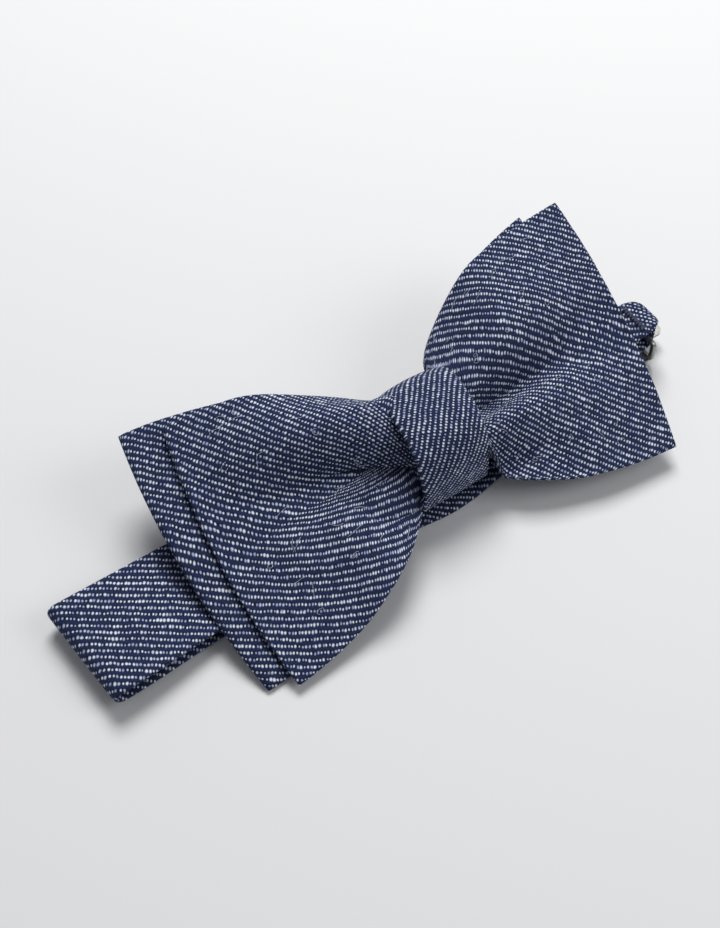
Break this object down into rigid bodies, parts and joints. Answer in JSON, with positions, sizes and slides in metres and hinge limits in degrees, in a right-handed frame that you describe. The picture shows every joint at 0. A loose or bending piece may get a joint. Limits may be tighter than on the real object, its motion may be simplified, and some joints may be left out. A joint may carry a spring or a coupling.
{
  "type": "bow tie",
  "caption": "Ready-tied bow tie: two stacked cloth bows pinched by a knot band, on an adjustable neck strap that closes with a hook and eye.",
  "frame": {"origin": "under the middle of the knot, on the surface that the neck strap lies on", "axes": "+X along the bow towards its right wing (the hook and eye end), +Y towards the bow's upper edge, +Z out of the bow's front"},
  "size_m": [0.162, 0.0612, 0.0289],
  "materials": {
    "shell_cloth": "navy twill with light flecks, matt",
    "canvas": "undyed woven interlining",
    "thread": "navy sewing thread",
    "nickel": "satin nickel plate"
  },
  "bodies": {
    "tie": {"front_bow": "shell_cloth", "front_bow_canvas": "canvas", "rear_bow": "shell_cloth", "rear_bow_canvas": "canvas", "gather_winding": "thread", "knot_wrap": "shell_cloth", "knot_lining": "canvas", "seam_stitch_1": "thread", "seam_stitch_2": "thread", "seam_stitch_3": "thread", "seam_stitch_4": "thread", "neck_strap": "shell_cloth", "strap_tape": "canvas", "eye_tack": "thread", "hook_tack": "thread"},
    "eye": {"strap_eye": "nickel"},
    "hook": {"strap_hook": "nickel"},
    "slider": {"strap_slider": "nickel", "strap_tail": "shell_cloth", "tail_tack": "thread"}
  },
  "joints": [
    {"name": "slider_slide", "type": "slide", "parent": "tie", "child": "slider", "axis": [1, 0, 0], "range_m": [-0.012, 0.01]},
    {"name": "eye_swivel", "type": "hinge", "parent": "tie", "child": "eye", "pos_m": [0.064, 0, 0.00805], "axis": [0, 1, 0], "range_deg": [-20, 2]},
    {"name": "hook_swivel", "type": "hinge", "parent": "tie", "child": "hook", "pos_m": [0.0595, 0, 0.00295], "axis": [0, 1, 0], "range_deg": [-8, 3]}
  ]
}
